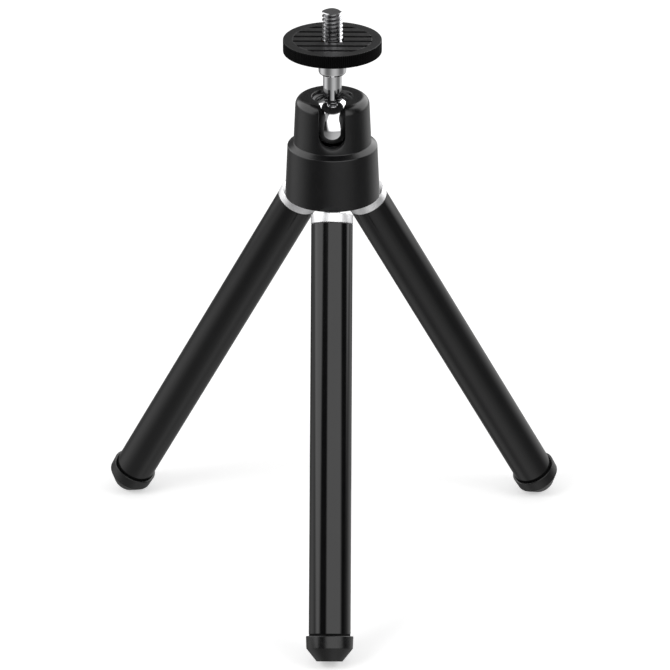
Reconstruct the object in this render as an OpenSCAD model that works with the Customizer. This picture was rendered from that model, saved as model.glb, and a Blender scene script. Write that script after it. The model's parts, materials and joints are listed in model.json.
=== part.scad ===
// Mini tabletop tripod with a small ball head, for a webcam or a compact camera.
// All sizes are in millimetres. The origin is on the table under the middle of the
// head, +Z is up, and the front leg points towards -Y. The legs are drawn open, the
// stem upright, and the locking disc down on the shoulder of the stem.

/* [Legs] */
// From the flat end of a foot to the hinge pin of the leg
leg_length = 144.3; // [80:0.1:220]
// Lean of an open leg from the vertical, in degrees
leg_lean = 30; // [20:1:35]
// Outside diameter of the leg tubes
tube_d = 12.8; // [11:0.1:16]
// Wall of the leg tubes
tube_wall = 0.8; // [0.5:0.1:1.5]
// Bright rim of the leg plug that shows between the tube and the head
band_h = 3; // [1.5:0.1:6]
// How far the rim stands out from the tube
band_step = 0.1; // [0:0.05:0.15]
// Length of the plug inside its tube
spigot_h = 12; // [6:1:25]

/* [Feet] */
// Upper part of a rubber foot, round the end of the tube
foot_rim_h = 3.8; // [2:0.1:8]
// Cone below it, down to the flat end
foot_cone_h = 3.9; // [2:0.1:6]
// Rubber outside the tube
foot_wall = 0.85; // [0.4:0.05:1.5]
// Diameter of the flat end
foot_end_d = 7.9; // [4:0.1:9]

/* [Leg hinges] */
// Diameter of the hinge pins
pin_d = 2; // [1.5:0.1:2.5]
// Length of the hinge pins
pin_length = 12; // [10:0.5:14]
// Radius of the eye at the top of a leg plug
eye_r = 3.2; // [2.8:0.1:3.5]
// Width of the eye and tongue, along the pin
tongue_w = 5; // [4:0.1:6]
// Thickness of the tongue, across the leg
tongue_t = 5; // [4:0.1:5.2]

/* [Collar] */
// Depth of the skirt below the hinge pins
skirt_drop = 4.2; // [4:0.1:5]
// Wall of the skirt at its lower edge
skirt_wall = 1.35; // [1:0.05:2]
// Draft of the outer walls, in degrees
draft = 2.7; // [0:0.1:5]
// Wall of the neck beside the middle of the ball
neck_wall = 2.6; // [2:0.1:5]
// Height of the sloping step between skirt and neck
step_h = 1.1; // [0.8:0.1:3]
// Rounding of the top edge
top_round = 2.7; // [0.5:0.1:3]
// Diameter of the mouth at the top face
mouth_d = 12.7; // [11:0.1:14]
// Height from the lip that holds the ball down to the top of the collar
lip_drop = 1.7; // [1.2:0.1:4]
// How far the stem can lean away from the side slot, in degrees
back_tilt = 11; // [8:0.5:13]
// Width of the side slot for the stem
slot_w = 8; // [7.5:0.1:9]
// Width of the bevel round the slot
slot_bevel = 0.35; // [0.2:0.05:0.8]
// Height of the neck below the side slot
slot_foot = 1; // [0.2:0.1:2]

/* [Ball and stem] */
// Diameter of the ball
ball_d = 18; // [15:0.5:21]
// Diameter of the stem
stem_d = 5.7; // [4.5:0.1:6.3]
// From the middle of the ball to the shoulder of the stem
stem_length = 16.9; // [15:0.1:30]
// Diameter of the shoulder that carries the locking disc
shoulder_d = 8.5; // [7.5:0.1:12]
// Height of the shoulder
shoulder_h = 6.4; // [3:0.1:12]

/* [Camera screw and locking disc] */
// Outside diameter of the camera thread, 6.35 for a quarter-inch thread
stud_d = 6.35; // [6.35:0.01:6.35]
// Height of the camera screw above the disc
stud_h = 9.1; // [5:0.1:14]
// Diameter of the locking disc
disc_d = 30.2; // [24:0.1:40]
// Thickness of the locking disc
disc_t = 3.8; // [3:0.1:6]
// Number of knurl grooves round the rim
knurl_count = 150; // [60:2:160]
// Diameter of the grip pad let into the disc
pad_d = 24.2; // [18:0.1:28]
// Thickness of the grip pad
pad_t = 1.2; // [0.9:0.1:1.8]
// Distance from one groove of the pad to the next
groove_pitch = 4; // [2.5:0.1:6]
// Width of the grooves
groove_w = 1.2; // [0.4:0.1:2]
// Depth of the grooves
groove_depth = 0.7; // [0.2:0.1:0.8]

/* [Fits] */
// Radial clearance of the moving fits
running_fit = 0.05; // [0.02:0.01:0.1]
// Clearance between the turning collar and the carrier
collar_fit = 0.1; // [0.05:0.01:0.2]
// Clearance round the ball
ball_fit = 0.15; // [0.1:0.01:0.3]
// Clearance on each side of a tongue
tongue_play = 0.15; // [0.1:0.05:0.3]
// Gap between folded legs at their tubes
fold_gap = 0.3; // [0.2:0.1:1]
// Gap between the open leg and the edge of the skirt it stops on
stop_gap = 0.3; // [0.2:0.05:0.6]

/* [Hidden] */
$fn = 96;

front = -90;
left = 150;
right = 30;

cut = 0.01;       // how far a cutter runs past the face it opens
nest = 0.02;      // clearance of pieces that stay fixed in each other
edge = 0.4;       // small chamfer on turned and moulded edges

// Leg hinge: the tubes nearly touch when the legs are folded together.
tube_r = tube_d / 2;
band_r = tube_r + band_step;
pivot_r = (tube_d + fold_gap) / sqrt(3);
pivot_z = leg_length * cos(leg_lean) + foot_end_d / 2 * sin(leg_lean);
pin_r = pin_d / 2;

// Feet, measured up the leg from the flat end.
foot_r = tube_r + foot_wall;
foot_h = foot_cone_h + foot_rim_h;
foot_floor = foot_cone_h + 0.6;

// Hub round the hinges: carrier above the pins, retainer below them.
hub_core_r = pivot_r - eye_r - 0.45;
pin_wall = 1.45;       // left round the blind ends of the pin holes
hub_r = norm([pin_length / 2 + pin_wall + 0.7, pivot_r + pin_r + pin_wall]);
roof_gap = 0.4;
slot_roof = eye_r + roof_gap;
retainer_t = skirt_drop - 0.5;
web_t = 4.2;
skirt_gap = 0.4;
skirt_in_r = hub_r + skirt_gap;
skirt_r = skirt_in_r + skirt_wall;

// The open leg stops with the flat top of its band on the edge of the skirt.
band_drop = (skirt_r - pivot_r) * sin(leg_lean) + skirt_drop * cos(leg_lean) + stop_gap;
tube_drop = band_drop + band_h;

// Spring washer, seat and ball, stacked on the web of the carrier.
ball_r = ball_d / 2;
spring_h = 1;
seat_floor = 0.85;
pocket_z = pivot_z + slot_roof + web_t;
seat_z = pocket_z + spring_h;
ball_z = seat_z + seat_floor + ball_fit + ball_r;
socket_r = ball_r + ball_fit;
seat_rim_z = ball_z - slot_w / 2 - 1.4;
pocket_depth = 2.6;
boss_z = pocket_z + pocket_depth;
boss_r = socket_r + 3.4;

// Collar heights.
turn_gap = 0.4;
lip_h = 0.5;
skirt_z = pivot_z - skirt_drop;
drum_z = pivot_z + slot_roof + 1;
neck_z = ball_z - slot_w / 2 - slot_bevel - slot_foot;
step_z = neck_z - step_h;
stem_r = stem_d / 2;
lip_play = 1.9;         // more tilt than the stem needs, in degrees
lip_angle = back_tilt + lip_play + asin(stem_r / socket_r);
lip_r = socket_r * sin(lip_angle);
lip_z = ball_z + socket_r * cos(lip_angle);
collar_top_z = lip_z + lip_drop;
neck_r = socket_r + neck_wall;
skirt_top_r = skirt_r - (step_z - skirt_z) * tan(draft);
neck_base_r = neck_r + (ball_z - neck_z) * tan(draft);
neck_top_r = neck_r - (collar_top_z - ball_z) * tan(draft);

// Stem, insert and disc.
flat_r = stem_r + 0.2;
flat_z = ball_z + sqrt(pow(ball_r, 2) - pow(flat_r, 2));
tang_r = stem_r * 0.6;
tang_depth = ball_r;
shoulder_r = shoulder_d / 2;
shoulder_z = ball_z + stem_length;
shoulder_top_z = shoulder_z + shoulder_h;
seat_gap = 0.2;
flange_h = 0.9;
flange_z = shoulder_top_z + seat_gap;
disc_z = flange_z + flange_h;
disc_top_z = disc_z + disc_t;
disc_r = disc_d / 2;
stud_r = stud_d / 2;
stud_top_z = disc_top_z + stud_h;
stud_tip = 0.25;
relief_h = 0.8;         // ring at the foot of the free thread
relief_depth = 0.25;
relief_z = disc_top_z + 0.1 - relief_h;
insert_r = stud_r + 0.75;
pad_r = pad_d / 2;
pad_z = disc_top_z - pad_t;
pad_hole_r = stud_r + 0.3;
knurl_r = 0.28;
groove_rows = floor((pad_r - groove_w) / groove_pitch + 0.5);

// Screw that holds the retainer.
screw_r = 1.5;
screw_head_r = 2.75;
screw_head_h = 1.6;
screw_length = 7;
recess_r = screw_head_r + 0.3;

// ---------------------------------------------------------------- placing

// Puts a leg drawn with its pin at the origin and its foot straight below it
// into the open position at one azimuth.
module open_leg(azimuth) {
    rotate([0, 0, azimuth])
        translate([pivot_r, 0, pivot_z])
            rotate([0, -leg_lean, 0])
                children();
}

module each_leg() {
    for (azimuth = [front, left, right])
        rotate([0, 0, azimuth])
            children();
}

// ------------------------------------------------------------------- legs

// Rubber foot: a slightly tapered rim and a cone to the flat end, open at the top for
// the tube, with the small inner chamfer that lets the tube in.
module foot_cap(azimuth) {
    color([0.12, 0.12, 0.13])
        open_leg(azimuth)
            translate([0, 0, -leg_length])
                rotate_extrude()
                    polygon([
                        [0, 0],
                        [foot_end_d / 2, 0],
                        [foot_r - 0.15, foot_cone_h],
                        [foot_r, foot_h - 0.2],
                        [foot_r - 0.2, foot_h],
                        [tube_r + 0.2, foot_h],
                        [tube_r + nest, foot_h - 0.25],
                        [tube_r + nest, foot_floor],
                        [0, foot_floor]
                    ]);
}

// Aluminium tube, from the floor of the foot to the band of the plug.
module leg_tube(azimuth) {
    color([0.1, 0.1, 0.11])
        open_leg(azimuth)
            translate([0, 0, -leg_length + foot_floor])
                linear_extrude(leg_length - foot_floor - tube_drop)
                    difference() {
                        circle(tube_r);
                        circle(tube_r - tube_wall);
                    }
}

// Metal plug in the top of a tube: spigot, bright band with a flat shoulder,
// and a flat tongue with the eye for the hinge pin.
module leg_plug(azimuth) {
    spigot_r = tube_r - tube_wall - nest;
    color([0.8, 0.8, 0.82])
        open_leg(azimuth)
            difference() {
                union() {
                    rotate_extrude()
                        polygon([
                            [0, -tube_drop - spigot_h],
                            [spigot_r - 1, -tube_drop - spigot_h],
                            [spigot_r, -tube_drop - spigot_h + 1],
                            [spigot_r, -tube_drop],
                            [band_r, -tube_drop],
                            [band_r, -band_drop - edge / 2],
                            [band_r - edge / 2, -band_drop],
                            [0, -band_drop]
                        ]);
                    translate([-tongue_t / 2, -tongue_w / 2, -band_drop - cut])
                        cube([tongue_t, tongue_w, band_drop + cut]);
                    rotate([90, 0, 0])
                        cylinder(r = eye_r, h = tongue_w, center = true);
                }
                rotate([90, 0, 0])
                    cylinder(r = pin_r + running_fit, h = tongue_w + 1, center = true);
            }
}

// ------------------------------------------------------------ hinge carrier

// Three radial slots that the tongues swing in.
module tongue_slots(low_z, high_z) {
    each_leg()
        translate([hub_core_r, -tongue_w / 2 - tongue_play, low_z])
            cube([hub_r, tongue_w + 2 * tongue_play, high_z - low_z]);
}

// Three blind holes for the pins. Half of each hole is in the carrier and half
// in the retainer, so the pins drop in before the retainer goes on.
module pin_holes() {
    each_leg()
        translate([pivot_r, 0, pivot_z])
            rotate([90, 0, 0])
                cylinder(r = pin_r + nest, h = pin_length + 0.2, center = true);
}

// Drum with the slots, and the threaded boss above it that the collar turns on,
// with the pocket for the seat in its top.
module leg_carrier() {
    color([0.15, 0.15, 0.16])
        difference() {
            union() {
                translate([0, 0, pivot_z])
                    cylinder(r = hub_r, h = drum_z - pivot_z - edge);
                translate([0, 0, drum_z - edge])
                    cylinder(r1 = hub_r, r2 = hub_r - edge, h = edge);
                translate([0, 0, drum_z - cut])
                    cylinder(r = boss_r, h = boss_z - drum_z - edge + cut);
                translate([0, 0, boss_z - edge])
                    cylinder(r1 = boss_r, r2 = boss_r - edge, h = edge);
            }
            tongue_slots(pivot_z - cut, pivot_z + slot_roof);
            pin_holes();
            translate([0, 0, pivot_z - cut])
                cylinder(r = screw_r + nest, h = screw_length);
            translate([0, 0, pocket_z])
                cylinder(r = ball_r, h = pocket_depth + cut);
        }
}

// Plate under the pins, with the lower half of the slots and the recess for
// the head of its screw.
module pin_retainer() {
    color([0.15, 0.15, 0.16])
        difference() {
            union() {
                translate([0, 0, pivot_z - retainer_t + edge])
                    cylinder(r = hub_r, h = retainer_t - edge);
                translate([0, 0, pivot_z - retainer_t])
                    cylinder(r1 = hub_r - edge, r2 = hub_r, h = edge);
            }
            tongue_slots(pivot_z - retainer_t - cut, pivot_z + cut);
            pin_holes();
            translate([0, 0, pivot_z - retainer_t - cut])
                cylinder(r = screw_r + nest, h = retainer_t + 2 * cut);
            translate([0, 0, pivot_z - retainer_t - cut])
                cylinder(r = recess_r, h = screw_head_h + 0.1 + cut);
        }
}

// Cross-recessed pan-head screw up the middle of the retainer.
module retainer_screw() {
    head_top = pivot_z - retainer_t + screw_head_h + 0.1;
    shank_top = pivot_z + screw_length - 1;
    color([0.7, 0.7, 0.72])
        difference() {
            union() {
                translate([0, 0, head_top - screw_head_h + edge])
                    cylinder(r = screw_head_r, h = screw_head_h - edge);
                translate([0, 0, head_top - screw_head_h])
                    cylinder(r1 = screw_head_r - edge, r2 = screw_head_r, h = edge);
                translate([0, 0, head_top - cut])
                    cylinder(r = screw_r, h = shank_top - head_top + cut);
            }
            for (turn = [0, 90])
                rotate([0, 0, turn])
                    translate([-1.5, -0.3, head_top - screw_head_h - cut])
                        cube([3, 0.6, 1]);
        }
}

module hinge_pin(azimuth) {
    color([0.75, 0.75, 0.77])
        rotate([0, 0, azimuth])
            translate([pivot_r, 0, pivot_z])
                rotate([90, 0, 0])
                    cylinder(r = pin_r, h = pin_length, center = true);
}

// -------------------------------------------------------------------- head

// Conical spring washer that presses the seat up against the ball.
module seat_spring() {
    thick = 0.5;
    bore_r = ball_r * 0.4;
    rim_r = ball_r - 0.3;
    color([0.6, 0.6, 0.62])
        translate([0, 0, pocket_z])
            rotate_extrude()
                polygon([
                    [bore_r, spring_h - thick],
                    [rim_r, 0],
                    [rim_r, thick],
                    [bore_r, spring_h]
                ]);
}

// Nylon cup under the ball.
module ball_seat() {
    color([0.2, 0.2, 0.2])
        difference() {
            translate([0, 0, seat_z])
                cylinder(r = ball_r - nest, h = seat_rim_z - seat_z);
            translate([0, 0, ball_z])
                sphere(r = socket_r);
        }
}

// Outline of the collar: skirt, sloping step, neck with a rounded top edge,
// countersunk mouth, and the stepped bore that is open below.
module collar_outline() {
    round_r = neck_top_r - top_round;
    steps = 9;
    polygon(concat(
        [
            [skirt_in_r, skirt_z],
            [skirt_r, skirt_z],
            [skirt_top_r, step_z],
            [neck_base_r, neck_z]
        ],
        [for (i = [0 : steps])
            [
                round_r + top_round * cos(90 * i / steps),
                collar_top_z - top_round + top_round * sin(90 * i / steps)
            ]],
        [
            [mouth_d / 2, collar_top_z],
            [lip_r, lip_z + lip_h],
            [lip_r, ball_z],
            [socket_r, ball_z],
            [socket_r, boss_z + turn_gap],
            [boss_r + collar_fit, boss_z + turn_gap],
            [boss_r + collar_fit, drum_z + turn_gap],
            [skirt_in_r, drum_z + turn_gap]
        ]
    ));
}

// Side slot for the stem: straight walls with a round lower end, both bevelled
// towards the outside.
module stem_slot() {
    slot_r = slot_w / 2;
    bevel_y = neck_r - neck_wall * 0.35;
    reach = 6;
    wide_r = slot_r + reach * slot_bevel / (neck_base_r - bevel_y);
    rise = collar_top_z - ball_z + 1;
    translate([0, 0, ball_z]) {
        rotate([90, 0, 0])
            linear_extrude(skirt_r)
                union() {
                    circle(slot_r);
                    translate([-slot_r, 0])
                        square([2 * slot_r, rise]);
                }
        translate([0, -bevel_y, 0])
            rotate([90, 0, 0])
                cylinder(r1 = slot_r, r2 = wide_r, h = reach);
        linear_extrude(rise)
            polygon([
                [-slot_r, -bevel_y],
                [slot_r, -bevel_y],
                [wide_r, -bevel_y - reach],
                [-wide_r, -bevel_y - reach]
            ]);
    }
}

// Locking collar: turning it clamps the ball between its lip and the seat.
module locking_collar() {
    color([0.09, 0.09, 0.1])
        difference() {
            rotate_extrude()
                collar_outline();
            translate([0, 0, ball_z])
                sphere(r = socket_r);
            stem_slot();
        }
}

// Ball with a flat and a hole in its top for the stem.
module ball() {
    color([0.85, 0.85, 0.87])
        difference() {
            translate([0, 0, ball_z])
                sphere(r = ball_r);
            translate([0, 0, flat_z])
                cylinder(r = ball_r, h = ball_r);
            translate([0, 0, flat_z - tang_depth])
                cylinder(r = tang_r + running_fit, h = tang_depth + cut);
        }
}

// Turned stem: tang in the ball, rod, shoulder and camera screw in one piece.
module ball_stem() {
    color([0.82, 0.82, 0.84])
        rotate_extrude()
            polygon([
                [0, flat_z - tang_depth + 0.2],
                [tang_r, flat_z - tang_depth + 0.2],
                [tang_r, flat_z + 0.1],
                [stem_r, flat_z + 0.1],
                [stem_r, shoulder_z],
                [shoulder_r - 0.9, shoulder_z],
                [shoulder_r - 0.25, shoulder_z + 0.3],
                [shoulder_r, shoulder_z + 0.95],
                [shoulder_r, shoulder_top_z - 0.2],
                [shoulder_r - 0.2, shoulder_top_z],
                [stud_r, shoulder_top_z],
                [stud_r, relief_z],
                [stud_r - relief_depth, relief_z + relief_depth],
                [stud_r - relief_depth, relief_z + relief_h - relief_depth],
                [stud_r, relief_z + relief_h],
                [stud_r, stud_top_z - stud_tip],
                [stud_r - stud_tip, stud_top_z],
                [0, stud_top_z]
            ]);
}

// Threaded metal bush moulded into the disc, with a flange on the underside.
module disc_insert() {
    color([0.75, 0.72, 0.6])
        rotate_extrude()
            polygon([
                [stud_r + running_fit, flange_z],
                [shoulder_r, flange_z],
                [shoulder_r, disc_z],
                [insert_r, disc_z],
                [insert_r, pad_z],
                [stud_r + running_fit, pad_z]
            ]);
}

// Knurled disc that is run up under the camera to lock it.
module platform_disc() {
    color([0.25, 0.25, 0.26])
        difference() {
            translate([0, 0, disc_z])
                rotate_extrude()
                    polygon([
                        [insert_r + running_fit, 0],
                        [disc_r - edge, 0],
                        [disc_r, edge],
                        [disc_r, disc_t - edge / 2],
                        [disc_r - edge / 2, disc_t],
                        [pad_r + nest, disc_t],
                        [pad_r + nest, disc_t - pad_t],
                        [insert_r + running_fit, disc_t - pad_t]
                    ]);
            for (i = [0 : knurl_count - 1])
                rotate([0, 0, 360 * i / knurl_count])
                    translate([disc_r + knurl_r * 0.4, 0, disc_z - cut])
                        cylinder(r = knurl_r, h = disc_t + 2 * cut, $fn = 4);
        }
}

// Rubber pad with straight grooves, flush with the top of the disc.
module grip_pad() {
    color([0.2, 0.2, 0.21])
        difference() {
            translate([0, 0, pad_z])
                linear_extrude(pad_t)
                    difference() {
                        circle(pad_r);
                        circle(pad_hole_r);
                    }
            for (row = [0.5 - groove_rows : groove_rows - 0.5])
                let (y = row * groove_pitch)
                    translate([-pad_r, y - groove_w / 2, disc_top_z - groove_depth])
                        cube([pad_d, groove_w, groove_depth + cut]);
        }
}

leg_carrier();
pin_retainer();
retainer_screw();
hinge_pin(front);  // hinge_pin_front
hinge_pin(left);  // hinge_pin_left
hinge_pin(right);  // hinge_pin_right
ball_seat();
seat_spring();
locking_collar();
ball();
ball_stem();
disc_insert();
platform_disc();
grip_pad();
leg_plug(front);  // leg_plug_front
leg_tube(front);  // leg_tube_front
foot_cap(front);  // foot_cap_front
leg_plug(left);  // leg_plug_left
leg_tube(left);  // leg_tube_left
foot_cap(left);  // foot_cap_left
leg_plug(right);  // leg_plug_right
leg_tube(right);  // leg_tube_right
foot_cap(right);  // foot_cap_right
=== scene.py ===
import json
import math

import bmesh
import bpy
from mathutils import Matrix, Vector


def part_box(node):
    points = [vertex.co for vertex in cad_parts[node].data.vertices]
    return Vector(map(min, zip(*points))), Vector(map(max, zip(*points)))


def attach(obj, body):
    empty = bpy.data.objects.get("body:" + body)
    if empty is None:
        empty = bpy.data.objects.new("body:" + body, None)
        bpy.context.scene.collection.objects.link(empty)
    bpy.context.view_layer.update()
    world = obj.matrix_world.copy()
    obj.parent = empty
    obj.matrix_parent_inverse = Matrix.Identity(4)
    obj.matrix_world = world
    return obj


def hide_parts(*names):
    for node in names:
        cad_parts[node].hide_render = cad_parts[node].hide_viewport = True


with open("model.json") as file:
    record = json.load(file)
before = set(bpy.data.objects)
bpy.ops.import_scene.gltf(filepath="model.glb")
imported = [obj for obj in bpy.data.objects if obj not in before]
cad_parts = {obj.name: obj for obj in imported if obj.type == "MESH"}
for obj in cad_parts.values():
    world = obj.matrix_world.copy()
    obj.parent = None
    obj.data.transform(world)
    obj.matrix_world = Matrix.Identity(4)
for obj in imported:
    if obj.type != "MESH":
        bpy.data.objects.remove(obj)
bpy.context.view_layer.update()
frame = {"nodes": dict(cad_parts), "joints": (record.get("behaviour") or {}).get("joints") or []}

# A mini tabletop tripod with a small ball head, made in the order in which it is put
# together: hinge block, collar, ball, stem, camera screw, camera disc, grip pad and
# the three legs. The studio comes last. Lengths are metres.
joints = {joint["name"]: joint for joint in frame["joints"]}

# ---------------------------------------------------------------- hinge block
# Two black nylon mouldings hold the three hinge pins between them, drawn together by
# one screw. The ball's nylon cup and its spring sit on top. All of it shows only from
# below and where the legs swing.


def connect(tree, node, inputs):
    """Puts a number, a colour or another node's result on each named input of a node."""
    for label, value in inputs.items():
        if isinstance(value, bpy.types.NodeSocket):
            tree.links.new(value, node.inputs[label])
        else:
            node.inputs[label].default_value = value


def result(tree, kind, inputs, label=0, **settings):
    """Makes a node with its settings and inputs, and returns one of its results."""
    node = tree.nodes.new(kind)
    for setting, value in settings.items():
        setattr(node, setting, value)
    connect(tree, node, inputs)
    return node.outputs[label]


def new_finish(name):
    """A fresh material, with its node tree and its shader."""
    material = bpy.data.materials.new(name)
    material.use_nodes = True
    return material, material.node_tree, material.node_tree.nodes["Principled BSDF"]


def blotches(tree, scale, low, high, detail=4.0):
    """Soft noise between two values, that stays in its place on the piece."""
    place = result(tree, "ShaderNodeTexCoord", {}, "Object")
    noise = result(tree, "ShaderNodeTexNoise", {"Vector": place, "Scale": scale, "Detail": detail})
    span = {"Value": noise, "From Min": 0.3, "From Max": 0.7, "To Min": low, "To Max": high}
    return result(tree, "ShaderNodeMapRange", span)


def tint(tree, amount, dark, pale):
    """Colour that runs from dark to pale as the amount goes from 0 to 1."""
    ends = {"Factor": amount, "A": (*dark, 1), "B": (*pale, 1)}
    return result(tree, "ShaderNodeMix", ends, "Result", data_type="RGBA")


def moulded_plastic(name, dark, pale, smooth, rough, grain_height, shine=0.5):
    """Moulded black plastic or rubber with a fine grain, a little uneven in colour and gloss."""
    material, tree, shader = new_finish(name)
    cloud_scale = 180
    gloss_scale = 420
    grain_scale = 5200
    pits = blotches(tree, grain_scale, 0, 1, detail=2.0)
    bump = {"Strength": 1.0, "Distance": grain_height, "Height": pits}
    look = {
        "IOR": 1.46,
        "Specular IOR Level": shine,
        "Base Color": tint(tree, blotches(tree, cloud_scale, 0, 1), dark, pale),
        "Roughness": blotches(tree, gloss_scale, smooth, rough),
        "Normal": result(tree, "ShaderNodeBump", bump),
    }
    connect(tree, shader, look)
    return material


def bright_metal(name, dark, pale, smooth, rough, wipe_scale=260):
    """Plain metal with faint wiping marks in its gloss."""
    material, tree, shader = new_finish(name)
    cloud_scale = wipe_scale * 0.4
    look = {
        "Metallic": 1.0,
        "Base Color": tint(tree, blotches(tree, cloud_scale, 0, 1), dark, pale),
        "Roughness": blotches(tree, wipe_scale, smooth, rough),
    }
    connect(tree, shader, look)
    return material


def refinish(material, *node_names):
    """Gives nodes of the construction their finish."""
    for node_name in node_names:
        piece = frame["nodes"][node_name]
        piece.data.materials.clear()
        piece.data.materials.append(material)


hinge_nylon = moulded_plastic(
    "hinge_nylon", (0.010, 0.010, 0.011), (0.017, 0.017, 0.018), 0.42, 0.55, 0.000012
)
zinc_plate = bright_metal("zinc_plate", (0.42, 0.43, 0.45), (0.58, 0.59, 0.61), 0.22, 0.38)
refinish(hinge_nylon, "leg_carrier", "pin_retainer", "ball_seat")
refinish(zinc_plate, "retainer_screw", "seat_spring")
refinish(zinc_plate, "hinge_pin_front", "hinge_pin_left", "hinge_pin_right")

# --------------------------------------------------------------------- collar
# One black plastic moulding that turns on the hinge block to clamp the ball: a bare
# skirt, a sloping step, and a neck with a rounded top edge and a mouth for the stem.
# The stem lies down into the slot in its side.
crisp_edge = 0.0001
fine_edge = 0.0002
soft_edge = 0.0003


def arc(radius, height, start, stop, steps):
    """Points of an arc about a height on the axis, between two angles."""
    angles = [start + (stop - start) * k / steps for k in range(steps + 1)]
    return [Vector((radius * math.cos(a), height + radius * math.sin(a))) for a in angles]


def eased(corners):
    """Outline through (radius, height, rounding) corners, with each rounding as an arc."""
    widest_step = math.radians(7)
    points = []
    for i, corner in enumerate(corners):
        here = Vector(corner[:2])
        rounding = corner[2] if len(corner) > 2 else 0
        if rounding <= 0:
            points.append(here)
            continue
        back = (Vector(corners[i - 1][:2]) - here).normalized()
        onward = (Vector(corners[(i + 1) % len(corners)][:2]) - here).normalized()
        half = back.angle(onward) / 2
        centre = here + (back + onward).normalized() * rounding / math.sin(half)
        start = here + back * rounding / math.tan(half) - centre
        stop = here + onward * rounding / math.tan(half) - centre
        first = math.atan2(start.y, start.x)
        sweep = (math.atan2(stop.y, stop.x) - first + math.pi) % (2 * math.pi) - math.pi
        steps = max(3, round(abs(sweep) / widest_step))
        for k in range(steps + 1):
            angle = first + sweep * k / steps
            points.append(centre + rounding * Vector((math.cos(angle), math.sin(angle))))
    return points


def placed(name, mesh, material=None):
    """A new piece at the origin."""
    if material:
        mesh.materials.append(material)
    piece = bpy.data.objects.new(name, mesh)
    bpy.context.scene.collection.objects.link(piece)
    return piece


def meshed(name, shape):
    """Turns a finished shape into a plain mesh."""
    mesh = bpy.data.meshes.new(name)
    shape.to_mesh(mesh)
    shape.free()
    return mesh


def smooth_mesh(mesh, crease=34):
    """Smooth shading, with edges kept sharp past an angle in degrees."""
    mesh.polygons.foreach_set("use_smooth", [True] * len(mesh.polygons))
    mesh.set_sharp_from_angle(angle=math.radians(crease))
    mesh.update()


def turned(name, outline, material, sides=160, closed=False):
    """Turned piece from an outline that runs up the outside. Open ends lie on the axis."""
    shape = bmesh.new()
    rings = []
    for radius, height in outline:
        on_axis = radius < 1e-7
        turns = [2 * math.pi * k / sides for k in range(1 if on_axis else sides)]
        places = [(radius * math.cos(turn), radius * math.sin(turn), height) for turn in turns]
        rings.append([shape.verts.new(place) for place in places])
    for low, high in zip(rings, rings[1:] + (rings[:1] if closed else [])):
        for k in range(sides):
            n = (k + 1) % sides
            corners = (low[k % len(low)], low[n % len(low)], high[n % len(high)], high[k % len(high)])
            shape.faces.new(tuple(dict.fromkeys(corners)))
    mesh = meshed(name, shape)
    smooth_mesh(mesh)
    return placed(name, mesh, material)


def slab(name, outline, depth_from, depth_to, material):
    """Flat piece: an outline of (x, z) points, pushed along Y."""
    shape = bmesh.new()
    near = [shape.verts.new((x, depth_from, z)) for x, z in outline]
    far = [shape.verts.new((x, depth_to, z)) for x, z in outline]
    shape.faces.new(near)
    shape.faces.new(far[::-1])
    for k in range(len(near)):
        n = (k + 1) % len(near)
        shape.faces.new((near[n], near[k], far[k], far[n]))
    bmesh.ops.recalc_face_normals(shape, faces=shape.faces)
    return placed(name, meshed(name, shape), material)


def settle(piece):
    """Turns a piece and its modifiers into a plain mesh."""
    seen = piece.evaluated_get(bpy.context.evaluated_depsgraph_get())
    mesh = bpy.data.meshes.new_from_object(seen)
    piece.modifiers.clear()
    piece.data = mesh


def worked(piece, tool, operation):
    """Cuts, joins or trims a piece with a tool. Cut faces take the tool's finish."""
    step = piece.modifiers.new("tool", "BOOLEAN")
    step.operation = operation
    step.solver = "EXACT"
    step.material_mode = "TRANSFER"
    step.object = tool
    settle(piece)
    bpy.data.objects.remove(tool)


def broken_edges(piece, width, angle, segments):
    """Rounds off the sharp edges of a piece, after its stray short edges are welded."""
    weld = piece.modifiers.new("weld", "WELD")
    weld.merge_threshold = 0.00003
    round_off = piece.modifiers.new("edges", "BEVEL")
    round_off.width = width
    round_off.segments = segments
    round_off.limit_method = "ANGLE"
    round_off.angle_limit = math.radians(angle)
    settle(piece)
    smooth_mesh(piece.data)


collar_low, collar_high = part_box("locking_collar")
carrier_low, carrier_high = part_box("leg_carrier")
ball_centre = joints["head_tilt"]["pos_m"][2]
ball_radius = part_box("ball")[1].x
draft = math.tan(math.radians(2.7))

skirt_radius = collar_high.x
skirt_bore = skirt_radius - 0.00135
neck_foot = ball_centre - 0.00535
step_foot = neck_foot - 0.0011
step_rounding = 0.0004
socket_radius = ball_radius + 0.00015
neck_radius = socket_radius + 0.0026
neck_rounding = 0.0027
boss_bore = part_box("ball_seat")[1].x + 0.0037
boss_foot = carrier_low.z + 0.0050
socket_foot = carrier_high.z + 0.0004

mouth_radius = 0.00635
mouth_waist = 0.00612
waist_height = collar_high.z - 0.0011
mouth_foot = 0.0054
lip_radius = 0.00472
lip_height = ball_centre + math.sqrt(socket_radius**2 - lip_radius**2)
lip_top = lip_height + 0.0003
lip_angle = math.acos(lip_radius / socket_radius)

slot_half = 0.00408
slot_drop = 0.00368
slot_edge = 0.0002
slot_top = collar_high.z + 0.001
slot_reach = 0.03

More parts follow.
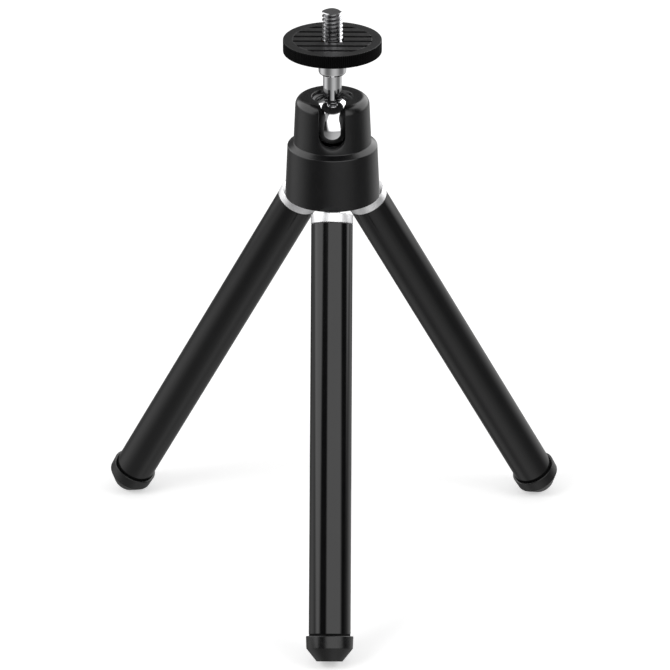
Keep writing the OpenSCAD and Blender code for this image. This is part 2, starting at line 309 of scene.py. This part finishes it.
collar_black = moulded_plastic(
    "collar_black", (0.0040, 0.0040, 0.0043), (0.0055, 0.0055, 0.0058), 0.20, 0.26, 0.000002
)
# A darker, less shiny copy of the collar's plastic for the walls of the slot: painted shade.
painted_slot_shade = moulded_plastic(
    "painted_slot_shade", (0.0014, 0.0014, 0.0015), (0.0022, 0.0022, 0.0023), 0.36, 0.44, 0.000002, 0.12
)
collar_outline = eased(
    [
        (skirt_bore, collar_low.z, fine_edge),
        (skirt_radius, collar_low.z, soft_edge),
        (skirt_radius - (step_foot - collar_low.z) * draft, step_foot, step_rounding),
        (neck_radius + (ball_centre - neck_foot) * draft, neck_foot, soft_edge),
        (neck_radius - (collar_high.z - ball_centre) * draft, collar_high.z, neck_rounding),
        (mouth_radius, collar_high.z, fine_edge),
        (mouth_waist, waist_height, fine_edge),
        (mouth_foot, lip_top, crisp_edge),
        (lip_radius, lip_top, crisp_edge),
    ]
)
collar_outline += arc(socket_radius, ball_centre, lip_angle, 0, 16)
collar_outline += [
    (socket_radius, socket_foot),
    (boss_bore, socket_foot),
    (boss_bore, boss_foot),
    (skirt_bore, boss_foot),
]
collar = turned("collar", collar_outline, collar_black, sides=256, closed=True)
slot_outline = [(slot_half, slot_top), (-slot_half, slot_top)]
slot_outline += [
    (-slot_half * math.cos(turn), ball_centre - slot_drop * math.sin(turn))
    for turn in map(math.radians, range(0, 181, 4))
]
slot_tool = slab("slot_tool", slot_outline, -slot_reach, 0.0, painted_slot_shade)
worked(collar, slot_tool, "DIFFERENCE")
broken_edges(collar, slot_edge, angle=38, segments=2)
# The edges of the slot go back to the gloss of the collar. Its walls keep a darker, duller copy of
# the plastic: painted shade inside the slot.
for face in collar.data.polygons:
    if face.material_index and abs(face.normal.y) > 0.05:
        face.material_index = 0
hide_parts("locking_collar")
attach(collar, "collar")

# ----------------------------------------------------------------------- ball
# A steel ball, turned in one piece with its stem and chromed. It sits in the cup
# inside the neck, and the lip of the collar holds it down.
chrome = bright_metal("chrome", (0.74, 0.74, 0.75), (0.80, 0.80, 0.81), 0.05, 0.09)
stem_radius = 0.00285
stem_foot = ball_centre + math.sqrt(ball_radius**2 - stem_radius**2)
stem_angle = math.acos(stem_radius / ball_radius)
ball_outline = arc(ball_radius, ball_centre, -math.pi / 2, stem_angle, 72)
ball_outline.append(Vector((0, stem_foot)))
ball = turned("chromed_ball", ball_outline, chrome, sides=144)
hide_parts("ball")
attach(ball, "ball")

# ----------------------------------------------------------------------- stem
# A chromed steel rod that grows out of the ball, with a thicker shoulder under the
# camera disc. The undercut over the ball and the underside of the shoulder are in a
# dark, dull steel: painted shade for the shadow that falls there.
stem_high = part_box("ball_stem")[1]
insert_low, insert_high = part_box("disc_insert")
shoulder_radius = stem_high.x
shoulder_top = insert_low.z - 0.0002
shoulder_low = shoulder_top - 0.0064
shoulder_rounding = 0.0011
undercut_radius = stem_radius - 0.0003
undercut_low = stem_foot - 0.0003
undercut_top = stem_foot + 0.0006
thread_radius = 0.003175
thread_pitch = 0.00127
thread_depth = 0.00072
core_radius = thread_radius - thread_depth
core_top = insert_low.z + 0.0010

# Dark, dull steel: painted shade for the undercut over the ball and the underside of the shoulder.
painted_shade_steel = bright_metal("painted_shade_steel", (0.020, 0.020, 0.021), (0.035, 0.035, 0.036), 0.35, 0.45)
stem = turned(
    "stem",
    eased(
        [
            (0, undercut_low),
            (undercut_radius, undercut_low),
            (undercut_radius, undercut_top),
            (stem_radius, undercut_top, crisp_edge),
            (stem_radius, shoulder_low, 0.00025),
            (shoulder_radius, shoulder_low, shoulder_rounding),
            (shoulder_radius, shoulder_top, 0.0005),
            (core_radius, shoulder_top),
            (core_radius, core_top),
            (0, core_top),
        ]
    ),
    chrome,
    sides=128,
)


def second_finish(piece, material, chosen):
    """Gives another finish to the faces that pass a test."""
    piece.data.materials.append(material)
    for face in piece.data.polygons:
        if chosen(face):
            face.material_index = 1


def in_painted_shade(face):
    """Whether a face of the stem is in the undercut or under the shoulder."""
    radius, height = face.center.xy.length, face.center.z
    in_undercut = radius < stem_radius - 0.00002 and height < undercut_top + 0.00001
    under_shoulder = height < shoulder_low + 0.0002 and face.normal.z < -0.92
    return in_undercut or under_shoulder


# The undercut and the underside of the shoulder take the dark steel: painted shade.
second_finish(stem, painted_shade_steel, in_painted_shade)
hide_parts("ball_stem")
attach(stem, "stem")

# --------------------------------------------------------------- camera screw
# The end of the stem is a quarter-inch camera screw, cut with twenty turns to the
# inch and left bright. Its flanks are straight, with narrow flat crests and roots.


def node_tree(name, sizes):
    """An empty tree for a modifier, with an input for each named size."""
    tree = bpy.data.node_groups.new(name, "GeometryNodeTree")
    tree.interface.new_socket("Geometry", in_out="INPUT", socket_type="NodeSocketGeometry")
    for label, size in sizes.items():
        kind = "NodeSocketInt" if isinstance(size, int) else "NodeSocketFloat"
        tree.interface.new_socket(label, in_out="INPUT", socket_type=kind)
    tree.interface.new_socket("Geometry", in_out="OUTPUT", socket_type="NodeSocketGeometry")
    return tree, tree.nodes.new("NodeGroupInput").outputs, tree.nodes.new("NodeGroupOutput")


def sums(tree, operation, *values, clamp=False):
    """One sum on results and plain numbers."""
    inputs = dict(enumerate(values))
    return result(tree, "ShaderNodeMath", inputs, operation=operation, use_clamp=clamp)


def vector_of(tree, x, y, z):
    """A vector from three results or plain numbers."""
    return result(tree, "ShaderNodeCombineXYZ", {"X": x, "Y": y, "Z": z})


def point_places(tree):
    """The X, Y and Z of each point of a mesh."""
    split = tree.nodes.new("ShaderNodeSeparateXYZ")
    connect(tree, split, {0: result(tree, "GeometryNodeInputPosition", {})})
    return split.outputs["X"], split.outputs["Y"], split.outputs["Z"]


def finish_tree(tree, geometry, output, material):
    """Ends a tree: loose copies become real, and the material goes on."""
    real = result(tree, "GeometryNodeRealizeInstances", {"Geometry": geometry})
    coat = {"Geometry": real, "Material": material}
    tree.links.new(result(tree, "GeometryNodeSetMaterial", coat), output.inputs[0])


def grown(tree, piece, sizes):
    """Runs a tree on a piece, and keeps the outcome as a plain mesh."""
    step = piece.modifiers.new(tree.name, "NODES")
    step.node_group = tree
    sockets = {item.name: item.identifier for item in tree.interface.items_tree}
    for label, size in sizes.items():
        step[sockets[label]] = size
    settle(piece)


screw_steel = bright_metal("screw_steel", (0.50, 0.50, 0.51), (0.56, 0.56, 0.57), 0.11, 0.15, 300)
turns_of_thread = 10
rows_to_a_turn = 16
thread_foot = insert_low.z + 0.0030
turns_below_foot = 1.74  # sets where the crests come
crest_end = 0.125  # share of the way from the middle of a crest to the middle of a root
root_start = 0.75
thread_sizes = {
    "Length": turns_of_thread * thread_pitch,
    "Pitch": thread_pitch,
    "Core Radius": core_radius,
    "Crest Radius": thread_radius,
    "Foot Height": thread_foot - turns_below_foot * thread_pitch,
    "Rows": turns_of_thread * rows_to_a_turn,
    "Sides": 64,
}
tree, given, output = node_tree("screw_thread", thread_sizes)
grid_counts = {
    "Vertices X": sums(tree, "ADD", given["Sides"], 1),
    "Vertices Y": sums(tree, "ADD", given["Rows"], 1),
}
grid = result(tree, "GeometryNodeMeshGrid", grid_counts)
# The flat grid is wound up: its columns go round the screw, and its rows climb.
grid_x, grid_y = point_places(tree)[:2]
turn = sums(tree, "MULTIPLY", sums(tree, "ADD", grid_x, 0.5), 2 * math.pi)
climb = sums(tree, "MULTIPLY", sums(tree, "ADD", grid_y, 0.5), given["Length"])
lead = sums(tree, "DIVIDE", sums(tree, "MULTIPLY", turn, given["Pitch"]), 2 * math.pi)
share = sums(tree, "FRACT", sums(tree, "ADD", sums(tree, "DIVIDE", climb, given["Pitch"]), 0.0001))
flank = {
    "Value": sums(tree, "ABSOLUTE", sums(tree, "MULTIPLY_ADD", share, 2.0, -1.0)),
    "From Min": crest_end,
    "From Max": root_start,
    "To Min": given["Crest Radius"],
    "To Max": given["Core Radius"],
}
radius = result(tree, "ShaderNodeMapRange", flank)
wound = vector_of(
    tree,
    sums(tree, "MULTIPLY", radius, sums(tree, "COSINE", turn)),
    sums(tree, "MULTIPLY", radius, sums(tree, "SINE", turn)),
    sums(tree, "ADD", sums(tree, "ADD", climb, lead), given["Foot Height"]),
)
helix = result(tree, "GeometryNodeSetPosition", {"Geometry": grid, "Position": wound})
closed_helix = result(tree, "GeometryNodeMergeByDistance", {"Geometry": helix, "Distance": 0.000002})
finish_tree(tree, closed_helix, output, screw_steel)

thread = placed("camera_thread", bpy.data.meshes.new("camera_thread"))
grown(tree, thread, thread_sizes)
# Its two open ends are closed.
shape = bmesh.new()
shape.from_mesh(thread.data)
bmesh.ops.holes_fill(shape, edges=[edge for edge in shape.edges if edge.is_boundary])
bmesh.ops.triangulate(shape, faces=[face for face in shape.faces if len(face.verts) > 4])
bmesh.ops.recalc_face_normals(shape, faces=shape.faces)
shape.to_mesh(thread.data)
shape.free()
# The thread is kept inside a bar with a run-out at its foot and a chamfered tip.
bar_radius = thread_radius + 0.0002
run_out = 0.0009
tip_chamfer = 0.0004
bar = turned(
    "thread_bar",
    [
        (0, thread_foot),
        (core_radius, thread_foot),
        (bar_radius, thread_foot + run_out),
        (bar_radius, stem_high.z - tip_chamfer),
        (bar_radius - tip_chamfer, stem_high.z),
        (0, stem_high.z),
    ],
    screw_steel,
    sides=96,
)
worked(thread, bar, "INTERSECT")
smooth_mesh(thread.data, 30)
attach(thread, "stem")

# --------------------------------------------------------------- camera disc
# A moulded black disc with a knurled rim, turned up under the camera to lock it. A
# threaded brass bush is pressed into it from below.
disc_low, disc_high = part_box("platform_disc")
pad_low, pad_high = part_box("grip_pad")
disc_radius = disc_high.x
disc_foot = disc_low.z - 0.0002
rim_middle = disc_low.z + 0.0019  # a ring here keeps the shading of the rim level
rim_grooves = 150
rim_depth = 0.00017
pad_radius = pad_high.x
pad_pocket = pad_radius + 0.00004
bush_bore = insert_high.x + 0.00005

disc_black = moulded_plastic(
    "disc_black", (0.0028, 0.0028, 0.003), (0.0042, 0.0042, 0.0044), 0.36, 0.46, 0.000006
)
# A darker, less shiny copy of the black plastic: painted shade for the light trapped in the knurled
# rim and in the grooves of the pad.
painted_shade_black = moulded_plastic(
    "painted_shade_black", (0.0014, 0.0014, 0.0015), (0.0022, 0.0022, 0.0023), 0.40, 0.48, 0.000004, 0.06
)
brass = bright_metal("brass", (0.55, 0.40, 0.18), (0.66, 0.50, 0.25), 0.2, 0.3)
refinish(brass, "disc_insert")
disc = turned(
    "camera_disc",
    eased(
        [
            (bush_bore, disc_foot),
            (disc_radius, disc_foot, soft_edge),
            (disc_radius, rim_middle),
            (disc_radius, disc_high.z, 0.00025),
            (pad_pocket, disc_high.z, crisp_edge),
            (pad_pocket, pad_low.z),
            (bush_bore, pad_low.z),
        ]
    ),
    disc_black,
    sides=900,
    closed=True,
)
knurl_sizes = {
    "Grooves": rim_grooves,
    "Depth": rim_depth,
    "Rim Radius": disc_radius,
    "Half Width": rim_depth,
}
tree, given, output = node_tree("straight_knurl", knurl_sizes)
rim_x, rim_y, rim_z = point_places(tree)
# The way along the rim to the nearest groove sets how deep the rim is pressed in.
turn = sums(tree, "ARCTAN2", rim_y, rim_x)
spread = sums(tree, "DIVIDE", sums(tree, "MULTIPLY", turn, given["Grooves"]), 2 * math.pi)
off_groove = sums(tree, "MULTIPLY", sums(tree, "PINGPONG", spread, 0.5), given["Rim Radius"])
off_groove = sums(tree, "MULTIPLY", sums(tree, "DIVIDE", off_groove, given["Grooves"]), 2 * math.pi)
steepness = sums(tree, "DIVIDE", off_groove, given["Half Width"])
cut_depth = sums(tree, "SUBTRACT", 1.0, steepness, clamp=True)
cut_depth = sums(tree, "MULTIPLY", cut_depth, given["Depth"])
across = {0: vector_of(tree, rim_x, rim_y, 0.0)}
reach = result(tree, "ShaderNodeVectorMath", across, "Value", operation="LENGTH")
new_reach = sums(tree, "MINIMUM", reach, sums(tree, "SUBTRACT", given["Rim Radius"], cut_depth))
scaling = sums(tree, "DIVIDE", new_reach, reach)
pressed = vector_of(
    tree,
    sums(tree, "MULTIPLY", rim_x, scaling),
    sums(tree, "MULTIPLY", rim_y, scaling),
    rim_z,
)
press = {"Geometry": given["Geometry"], "Position": pressed}
finish_tree(tree, result(tree, "GeometryNodeSetPosition", press), output, disc_black)
grown(tree, disc, knurl_sizes)
smooth_mesh(disc.data, 30)


def on_rim(face):
    """Whether a face of the disc is on its knurled rim."""
    return face.center.xy.length > disc_radius - 0.0005 and abs(face.normal.z) < 0.6


# The knurled rim takes the darker black: painted shade.
second_finish(disc, painted_shade_black, on_rim)
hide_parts("platform_disc")
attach(disc, "disc")

# ------------------------------------------------------------------- grip pad
# A ring of black rubber, let into the top of the disc so that the camera grips it.
# Six straight grooves run across it, their walls in a darker matt black: painted shade.
pad_bore = thread_radius + 0.0003
pad_grooves = 6
groove_pitch = 0.004
groove_width = 0.00135
groove_depth = 0.0007
pad_black = moulded_plastic(
    "pad_black", (0.0060, 0.0060, 0.0063), (0.0085, 0.0085, 0.0088), 0.33, 0.40, 0.000006, 0.68
)
pad = turned(
    "grip_pad_rubber",
    eased(
        [
            (pad_bore, pad_low.z),
            (pad_radius, pad_low.z),
            (pad_radius, pad_high.z, 0.00015),
            (pad_bore, pad_high.z, crisp_edge),
        ]
    ),
    pad_black,
    sides=144,
    closed=True,
)
groove_sizes = {
    "Grooves": pad_grooves,
    "Pitch": groove_pitch,
    "First": -groove_pitch * (pad_grooves - 1) / 2,
    "Height": pad_high.z,
    "Length": 2.2 * pad_radius,
    "Width": groove_width,
    "Deep": groove_depth,
}
tree, given, output = node_tree("pad_grooves", groove_sizes)
row_places = {
    "Count": given["Grooves"],
    "Start Location": vector_of(tree, 0.0, given["First"], given["Height"]),
    "Offset": vector_of(tree, 0.0, given["Pitch"], 0.0),
}
rows = result(tree, "GeometryNodeMeshLine", row_places)
bar_height = sums(tree, "MULTIPLY", given["Deep"], 2.0)
bar_size = vector_of(tree, given["Length"], given["Width"], bar_height)
bar = result(tree, "GeometryNodeMeshCube", {"Size": bar_size})
laid = result(tree, "GeometryNodeInstanceOnPoints", {"Points": rows, "Instance": bar})
bars = result(tree, "GeometryNodeRealizeInstances", {"Geometry": laid})
cut = {"Mesh 1": given["Geometry"], "Mesh 2": bars}
carved = result(tree, "GeometryNodeMeshBoolean", cut, operation="DIFFERENCE", solver="MANIFOLD")
finish_tree(tree, carved, output, pad_black)
grown(tree, pad, groove_sizes)
smooth_mesh(pad.data)


def in_groove(face):
    """Whether a face of the pad is under its top and inside its outer wall."""
    return face.center.z < pad_high.z - 0.0002 and face.center.xy.length < pad_radius - 0.0001


# The walls of the grooves take the darker black: painted shade.
second_finish(pad, painted_shade_black, in_groove)
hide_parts("grip_pad")
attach(pad, "disc")

# ----------------------------------------------------------------------- legs
# Each leg is a black anodised aluminium tube. A turned plug with a bright rim and a
# flat tongue is fixed in its top, and a rubber foot is pushed over its end. The
# tongue hangs on the hinge pin.
front_hinge = joints["leg_front_fold"]["pos_m"]
leg_length = 0.1443
leg_lean = math.radians(30)
tube_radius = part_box("leg_tube_front")[1].x
tube_bore = tube_radius - 0.0008
tube_end_radius = tube_radius - 0.0005

foot_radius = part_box("foot_cap_front")[1].x
foot_end = -leg_length
foot_end_radius = 0.00395
cone_top = foot_end + 0.0039
foot_floor = foot_end + 0.0045
foot_top = foot_end + 0.0077
foot_rim_low = foot_radius - 0.00015
foot_mouth = tube_radius + 0.00015
foot_bore = tube_radius - 0.0003
foot_lead = foot_top - 0.0004
bare_from = foot_top + 0.0006
tube_foot = foot_floor + 0.0001
shade_ring_radius = tube_radius - 0.00008
shade_ring_low = foot_top - 0.0006
shade_ring_high = bare_from + 0.00005

skirt_reach = (skirt_radius - Vector(front_hinge[:2]).length) * math.sin(leg_lean)
skirt_drop = (front_hinge[2] - collar_low.z) * math.cos(leg_lean)
band_top = -(skirt_reach + skirt_drop + 0.0003)
tube_top = band_top - 0.003
band_foot = tube_top + 0.0001
band_radius = tube_radius + 0.0001
plug_radius = tube_radius - 0.0009
plug_tip_radius = tube_radius - 0.002
plug_tip = tube_top - 0.012
plug_taper_top = tube_top - 0.011
eye_radius = 0.0032
tongue_half = 0.0025
tongue_foot = band_top - 0.0002

tube_black = moulded_plastic(
    "tube_black", (0.0036, 0.0036, 0.0038), (0.0048, 0.0048, 0.0050), 0.08, 0.11, 0.0000008
)
# Near-black, matt rubber for the ring at the mouth of the foot: painted shade for the gap between the
# tube and the foot.
painted_gap_shade = moulded_plastic(
    "painted_gap_shade", (0.0024, 0.0024, 0.0026), (0.0034, 0.0034, 0.0036), 0.7, 0.8, 0.000004, 0.1
)
foot_rubber = moulded_plastic(
    "foot_rubber", (0.0040, 0.0040, 0.0042), (0.0058, 0.0058, 0.0060), 0.22, 0.30, 0.000004
)
band_metal = bright_metal("band_metal", (0.86, 0.86, 0.87), (0.92, 0.92, 0.93), 0.40, 0.48)

foot_outline = eased(
    [
        (0, foot_end),
        (foot_end_radius, foot_end, fine_edge),
        (foot_rim_low, cone_top, soft_edge),
        (foot_radius, foot_top, 0.00025),
        (foot_mouth, foot_top, crisp_edge),
        (foot_bore, foot_lead),
        (foot_bore, foot_floor),
        (0, foot_floor),
    ]
)
tube_outline = eased(
    [
        (tube_bore, tube_foot),
        (tube_end_radius, tube_foot),
        (tube_end_radius, bare_from),
        (tube_radius, bare_from, 0.00012),
        (tube_radius, tube_top, 0.00015),
        (tube_bore, tube_top),
    ]
)
# A thin dark ring in the tube's groove at the foot's mouth: painted shade standing in for the shadow
# in the gap there.
shade_ring_outline = [
    (tube_end_radius, shade_ring_low),
    (shade_ring_radius, shade_ring_low),
    (shade_ring_radius, shade_ring_high),
    (tube_end_radius, shade_ring_high),
]
plug_outline = eased(
    [
        (0, plug_tip),
        (plug_tip_radius, plug_tip),
        (plug_radius, plug_taper_top),
        (plug_radius, band_foot),
        (band_radius, band_foot, soft_edge),
        (band_radius, band_top, fine_edge),
        (0, band_top),
    ]
)
tongue_outline = arc(eye_radius, 0, math.radians(-38), math.radians(218), 32)
tongue_outline += [(-tongue_half, tongue_foot), (tongue_half, tongue_foot)]

# Each leg is made hanging straight down from its pin, and is then leaned out.
for leg in ("front", "left", "right"):
    hinge = joints[f"leg_{leg}_fold"]["pos_m"]
    stand = (
        Matrix.Translation(hinge)
        @ Matrix.Rotation(math.atan2(hinge[1], hinge[0]), 4, "Z")
        @ Matrix.Rotation(-leg_lean, 4, "Y")
    )
    foot = turned(f"foot_{leg}", foot_outline, foot_rubber)
    tube = turned(f"tube_{leg}", tube_outline, tube_black, closed=True)
    shade_ring = turned(f"shade_ring_{leg}", shade_ring_outline, painted_gap_shade, closed=True)
    plug = turned(f"plug_{leg}", plug_outline, band_metal)
    tongue = slab("tongue", tongue_outline, -tongue_half, tongue_half, band_metal)
    worked(plug, tongue, "UNION")
    smooth_mesh(plug.data)
    for piece, node, finish in (
        (foot, f"foot_cap_{leg}", "foot_rubber"),
        (tube, f"leg_tube_{leg}", "leg_black"),
        (plug, f"leg_plug_{leg}", "plug_metal"),
        # The dark ring at the foot's mouth is painted shade, though its label here says foot rubber.
        (shade_ring, None, "foot_rubber"),
    ):
        piece.data.transform(stand)
        if node:
            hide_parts(node)
        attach(piece, f"leg_{leg}")

# --------------------------------------------------------------------- studio
# A plain pale floor, and a light tent that shows only in shiny surfaces. Two soft lamps
# light the tripod, and the camera looks down at it from a little above its head.


def backdrop_rays(tree):
    """1 for what the camera sees straight, mirrored or through a clear piece, and else 0."""
    rays = tree.nodes.new("ShaderNodeLightPath").outputs
    seen = sums(tree, "ADD", rays["Is Camera Ray"], rays["Is Glossy Ray"])
    return sums(tree, "ADD", seen, rays["Is Transmission Ray"], clamp=True)


def studio_paint(name):
    """An empty material, with its node tree and its output."""
    paint = bpy.data.materials.new(name)
    paint.use_nodes = True
    paint.node_tree.nodes.clear()
    return paint, paint.node_tree, paint.node_tree.nodes.new("ShaderNodeOutputMaterial")


floor_half = 6
floor_lift = 0.45
floor_paint, tree, output = studio_paint("floor_paint")
matte = result(tree, "ShaderNodeBsdfDiffuse", {"Color": (0.90, 0.90, 0.90, 1)})
lift = sums(tree, "MULTIPLY", backdrop_rays(tree), floor_lift)
lifted = result(tree, "ShaderNodeEmission", {"Strength": lift})
connect(tree, output, {"Surface": result(tree, "ShaderNodeAddShader", {0: matte, 1: lifted})})
shape = bmesh.new()
bmesh.ops.create_grid(shape, x_segments=1, y_segments=1, size=floor_half)
floor = placed("floor", meshed("floor", shape), floor_paint)

world = bpy.data.worlds.new("studio")
bpy.context.scene.world = world
world.use_nodes = True
tree = world.node_tree
brightness = {"Value": backdrop_rays(tree), "To Min": 0.5, "To Max": 1.0}
sky = {"Strength": result(tree, "ShaderNodeMapRange", brightness), "Color": (1, 1, 1, 1)}
connect(tree, tree.nodes["Background"], sky)

# Each box of the tent: the turns that it lies between, how far its first edge leans with
# the height, its lowest and highest edge, all in degrees, and its glow.
softboxes = (
    (-146, -58, 0, -1.5, 62, 2.15),
    (-24, 63, 12, -2, 62, 1.95),
    (98, 167, 0, -3, 58, 2.3),
)
# Glow of the table under the tent, by the turn: far from the tripod, and close to it.
table_far = (
    (-180, 0.20), (-140, 0.18), (-130, 0.27), (-120, 0.50), (-108, 0.72), (-95, 0.80), (-80, 0.66),
    (-68, 0.43), (-58, 0.24), (-46, 0.14), (-25, 0.17), (-12, 0.30), (0, 0.47), (14, 0.55),
    (28, 0.57), (40, 0.44), (50, 0.36), (60, 0.22), (72, 0.17), (94, 0.20), (105, 0.38),
    (116, 0.60), (130, 0.70), (145, 0.62), (158, 0.48), (180, 0.20),
)
table_near = (
    (-180, 0.20), (-143, 0.15), (-120, 0.40), (-103, 0.51), (-75, 0.51), (-52, 0.38), (-35, 0.32),
    (-16, 0.41), (0, 0.55), (16, 0.69), (33, 0.68), (52, 0.56), (74, 0.45), (102, 0.43),
    (140, 0.28), (180, 0.20),
)
# The other glows: the table right under the tripod, the plain cloth, what is added to
# it round the tops of the boxes and at the back of the tent, and the roof.
table_middle = 0.42
cloth_glow = 0.02
upper_glow = 0.35
back_glow = 0.12
roof_glow = 0.14


def along(places, value):
    """Value read off a line through (place, value) pairs."""
    for (a, low), (b, high) in zip(places, places[1:]):
        if value <= b:
            return low + (high - low) * (value - a) / (b - a)
    return places[-1][1]


def within(value, low, high, blur):
    """1 between two limits and 0 outside them, with soft edges."""
    up = min(max((value - low) / blur + 0.5, 0), 1)
    down = min(max((high - value) / blur + 0.5, 0), 1)
    return up * up * (3 - 2 * up) * down * down * (3 - 2 * down)


def blend(under, over, share):
    """One glow laid over another, by a share from 0 to 1."""
    return under + (over - under) * share


def tent_glow(turn, height):
    """Glow of the tent at a turn from the front to the right and a height, in degrees."""
    far, near = along(table_far, turn), along(table_near, turn)
    table = along(((-90, table_middle), (-62, near), (-50, near), (-19, far), (0, far)), height)
    cloth = cloth_glow + upper_glow * within(height, 36, 62, 8)
    cloth += back_glow * (1 - within(turn, -145, 166, 8))
    glow = blend(cloth, roof_glow, within(height, 62, 200, 6))
    for turn_from, turn_to, lean, low, high, box_glow in softboxes:
        blur = along(((-90, 18), (0, 18), (40, 6), (90, 6)), height)
        edge = turn_from + lean * along(((-90, 1), (0, 1), (36, 0), (90, 0)), height)
        inside = within(turn, edge, turn_to, blur) * within(height, low, high, 10)
        glow = blend(glow, box_glow, inside)
    return blend(table, glow, within(height, -4, 200, 14))


tent_radius = 1.6
tent_middle = 0.1
tent_cloth, tree, output = studio_paint("tent_cloth")
painted = result(tree, "ShaderNodeAttribute", {}, "Fac", attribute_name="glow")
cloth_light = result(tree, "ShaderNodeEmission", {"Strength": painted})
connect(tree, output, {"Surface": cloth_light})
dome = arc(tent_radius, tent_middle, -math.pi / 2, math.pi / 2, 60)
tent = turned("light_tent", dome, tent_cloth, sides=120)
levels = tent.data.attributes.new("glow", "FLOAT", "POINT")
for vertex, level in zip(tent.data.vertices, levels.data):
    x, y, z = vertex.co.x, vertex.co.y, vertex.co.z - tent_middle
    level.value = tent_glow(
        math.degrees(math.atan2(x, -y)), math.degrees(math.atan2(z, math.hypot(x, y)))
    )
tent.visible_camera = False
tent.visible_diffuse = False
tent.visible_transmission = False
tent.visible_shadow = False
tent.visible_volume_scatter = False
floor.visible_glossy = False

aim = Vector((0, 0, 0.09))
lamp_size = 1.4
for name, place, power in (
    ("key_left", (-1.8, -1.4, 1.9), 26),
    ("fill_right", (2.0, -1.0, 1.7), 18),
):
    lamp = bpy.data.lights.new(name, "AREA")
    lamp.shape = "RECTANGLE"
    lamp.size = lamp_size
    lamp.size_y = lamp_size
    lamp.energy = power
    box = bpy.data.objects.new(name, lamp)
    box.location = place
    box.rotation_euler = (aim - Vector(place)).to_track_quat("-Z", "Y").to_euler()
    box.visible_glossy = False
    bpy.context.scene.collection.objects.link(box)

looking_down = math.radians(25.04)
looking_left = math.radians(0.63)
lens = bpy.data.cameras.new("camera")
lens.sensor_width = 36
lens.lens = 214.2
lens.clip_start = 0.05
lens.clip_end = 20
camera = bpy.data.objects.new("camera", lens)
camera.location = (0.0133, -1.1374, 0.60586)
camera.rotation_euler = (math.pi / 2 - looking_down, 0, looking_left)
bpy.context.scene.collection.objects.link(camera)
bpy.context.scene.camera = camera
bpy.context.scene.view_settings.view_transform = "Standard"
